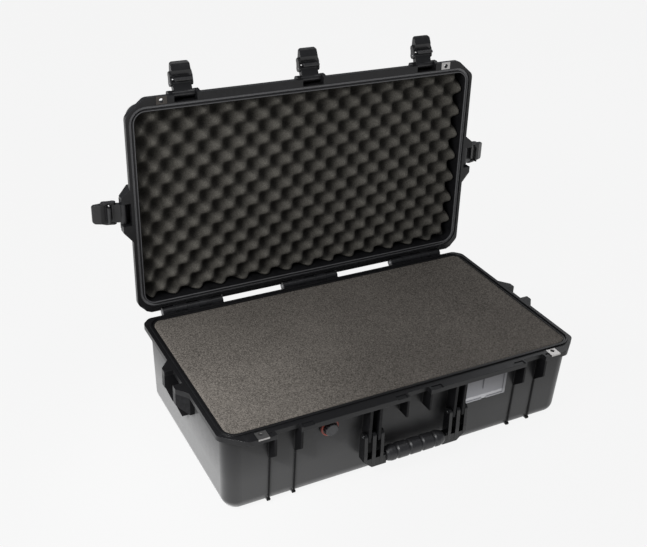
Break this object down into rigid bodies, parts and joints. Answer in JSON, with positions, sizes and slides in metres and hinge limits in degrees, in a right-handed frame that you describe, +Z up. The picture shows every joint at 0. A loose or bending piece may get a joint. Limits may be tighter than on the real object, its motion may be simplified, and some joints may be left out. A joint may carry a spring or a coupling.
{
  "type": "hard equipment case",
  "caption": "Hard moulded drone carrying case, lid standing open, with press-button latches, folding carry handle, pressure valve and foam filling.",
  "frame": {"origin": "middle of the flat underside of the base, midway between its ends and between its front and back walls", "axes": "+X along the length to the right, -Y the front with the handle and latches, +Z up"},
  "size_m": [0.8112, 0.482, 0.6069],
  "materials": {
    "shell_plastic": "satin moulded polypropylene with a fine texture",
    "latch_plastic": "satin moulded plastic, darker than the shell",
    "button_plastic": "satin moulded plastic",
    "handle_plastic": "satin moulded plastic",
    "grip_rubber": "matt soft overmould",
    "seal_rubber": "matt black rubber cord",
    "stainless": "brushed stainless plate",
    "steel_pin": "ground steel pin",
    "spring_steel": "bright spring wire",
    "pluck_foam": "fine open-cell foam, warm dark grey",
    "convoluted_foam": "open-cell foam with egg-box peaks, warm dark grey",
    "valve_plastic": "satin moulded plastic",
    "valve_ring": "orange-red moulded ring",
    "valve_knob": "mid-grey moulded knob",
    "membrane": "pale breathable disc",
    "card_frame": "satin moulded plastic frame",
    "card_paper": "blank card",
    "card_window": "frosted grey window"
  },
  "bodies": {
    "base": {"base_shell": "shell_plastic", "bottom_pad": "pluck_foam", "pluck_foam_lower": "pluck_foam", "pluck_foam_upper": "pluck_foam", "padlock_plate_base_left": "stainless", "padlock_plate_base_right": "stainless", "hinge_pin_left": "steel_pin", "hinge_pin_centre": "steel_pin", "hinge_pin_right": "steel_pin", "handle_pin_left": "steel_pin", "handle_pin_right": "steel_pin", "valve_body": "valve_plastic", "valve_ring": "valve_ring", "valve_membrane": "membrane", "card_frame": "card_frame", "name_card": "card_paper"},
    "lid": {"lid_shell": "shell_plastic", "lid_seal": "seal_rubber", "lid_foam": "convoluted_foam", "padlock_plate_lid_left": "stainless", "padlock_plate_lid_right": "stainless", "latch_pivot_pin_front_left": "steel_pin", "latch_pivot_pin_front_centre": "steel_pin", "latch_pivot_pin_front_right": "steel_pin", "latch_pivot_pin_side_left": "steel_pin", "latch_pivot_pin_side_right": "steel_pin"},
    "arm_front_left": {"latch_arm_front_left": "latch_plastic"},
    "lever_front_left": {"latch_lever_front_left": "latch_plastic", "latch_spring_front_left": "spring_steel", "latch_lever_pin_front_left": "steel_pin"},
    "button_front_left": {"latch_button_front_left": "button_plastic"},
    "arm_front_centre": {"latch_arm_front_centre": "latch_plastic"},
    "lever_front_centre": {"latch_lever_front_centre": "latch_plastic", "latch_spring_front_centre": "spring_steel", "latch_lever_pin_front_centre": "steel_pin"},
    "button_front_centre": {"latch_button_front_centre": "button_plastic"},
    "arm_front_right": {"latch_arm_front_right": "latch_plastic"},
    "lever_front_right": {"latch_lever_front_right": "latch_plastic", "latch_spring_front_right": "spring_steel", "latch_lever_pin_front_right": "steel_pin"},
    "button_front_right": {"latch_button_front_right": "button_plastic"},
    "arm_side_left": {"latch_arm_side_left": "latch_plastic"},
    "lever_side_left": {"latch_lever_side_left": "latch_plastic", "latch_spring_side_left": "spring_steel", "latch_lever_pin_side_left": "steel_pin"},
    "button_side_left": {"latch_button_side_left": "button_plastic"},
    "arm_side_right": {"latch_arm_side_right": "latch_plastic"},
    "lever_side_right": {"latch_lever_side_right": "latch_plastic", "latch_spring_side_right": "spring_steel", "latch_lever_pin_side_right": "steel_pin"},
    "button_side_right": {"latch_button_side_right": "button_plastic"},
    "handle": {"handle_frame": "handle_plastic", "handle_grip": "grip_rubber"},
    "card_cover": {"card_cover": "card_window"},
    "valve_cap": {"valve_cap": "valve_knob"}
  },
  "joints": [
    {"name": "lid_hinge", "type": "hinge", "parent": "base", "child": "lid", "pos_m": [0, 0.2014, 0.1582], "axis": [-1, 0, 0], "range_deg": [-92, 0]},
    {"name": "arm_front_left", "type": "hinge", "parent": "lid", "child": "arm_front_left", "pos_m": [-0.238, 0.23109, 0.55581], "axis": [-1, 0, 0], "range_deg": [-86, 0]},
    {"name": "lever_front_left", "type": "hinge", "parent": "arm_front_left", "child": "lever_front_left", "pos_m": [-0.238, 0.23871, 0.57258], "axis": [-1, 0, 0], "range_deg": [0, 50]},
    {"name": "button_front_left", "type": "slide", "parent": "lever_front_left", "child": "button_front_left", "axis": [0, -0.9994, -0.0349], "range_m": [0, 0.0025], "stiffness_N_per_m": 60},
    {"name": "arm_front_centre", "type": "hinge", "parent": "lid", "child": "arm_front_centre", "pos_m": [0, 0.23109, 0.55581], "axis": [-1, 0, 0], "range_deg": [-86, 0]},
    {"name": "lever_front_centre", "type": "hinge", "parent": "arm_front_centre", "child": "lever_front_centre", "pos_m": [0, 0.23871, 0.57258], "axis": [-1, 0, 0], "range_deg": [0, 50]},
    {"name": "button_front_centre", "type": "slide", "parent": "lever_front_centre", "child": "button_front_centre", "axis": [0, -0.9994, -0.0349], "range_m": [0, 0.0025], "stiffness_N_per_m": 60},
    {"name": "arm_front_right", "type": "hinge", "parent": "lid", "child": "arm_front_right", "pos_m": [0.238, 0.23109, 0.55581], "axis": [-1, 0, 0], "range_deg": [-86, 0]},
    {"name": "lever_front_right", "type": "hinge", "parent": "arm_front_right", "child": "lever_front_right", "pos_m": [0.238, 0.23871, 0.57258], "axis": [-1, 0, 0], "range_deg": [0, 50]},
    {"name": "button_front_right", "type": "slide", "parent": "lever_front_right", "child": "button_front_right", "axis": [0, -0.9994, -0.0349], "range_m": [0, 0.0025], "stiffness_N_per_m": 60},
    {"name": "arm_side_left", "type": "hinge", "parent": "lid", "child": "arm_side_left", "pos_m": [-0.354, 0.22422, 0.35893], "axis": [0, -0.0349, -0.9994], "range_deg": [-86, 0]},
    {"name": "lever_side_left", "type": "hinge", "parent": "arm_side_left", "child": "lever_side_left", "pos_m": [-0.37103, 0.23124, 0.35868], "axis": [0, -0.0349, -0.9994], "range_deg": [0, 50]},
    {"name": "button_side_left", "type": "slide", "parent": "lever_side_left", "child": "button_side_left", "axis": [0.0698, -0.997, 0.0348], "range_m": [0, 0.0025], "stiffness_N_per_m": 60},
    {"name": "arm_side_right", "type": "hinge", "parent": "lid", "child": "arm_side_right", "pos_m": [0.354, 0.22422, 0.35893], "axis": [0, 0.0349, 0.9994], "range_deg": [-86, 0]},
    {"name": "lever_side_right", "type": "hinge", "parent": "arm_side_right", "child": "lever_side_right", "pos_m": [0.37103, 0.23124, 0.35868], "axis": [0, 0.0349, 0.9994], "range_deg": [0, 50]},
    {"name": "button_side_right", "type": "slide", "parent": "lever_side_right", "child": "button_side_right", "axis": [-0.0698, -0.997, 0.0348], "range_m": [0, 0.0025], "stiffness_N_per_m": 60},
    {"name": "handle_swing", "type": "hinge", "parent": "base", "child": "handle", "pos_m": [0, -0.197, 0.094], "axis": [-1, 0, 0], "range_deg": [0, 95]},
    {"name": "card_cover_slide", "type": "slide", "parent": "base", "child": "card_cover", "axis": [0, 0, -1], "range_m": [0, 0.03]},
    {"name": "valve_turn", "type": "hinge", "parent": "base", "child": "valve_cap", "pos_m": [-0.158, -0.19, 0.127], "axis": [0, -1, 0], "range_deg": [0, 180]}
  ]
}
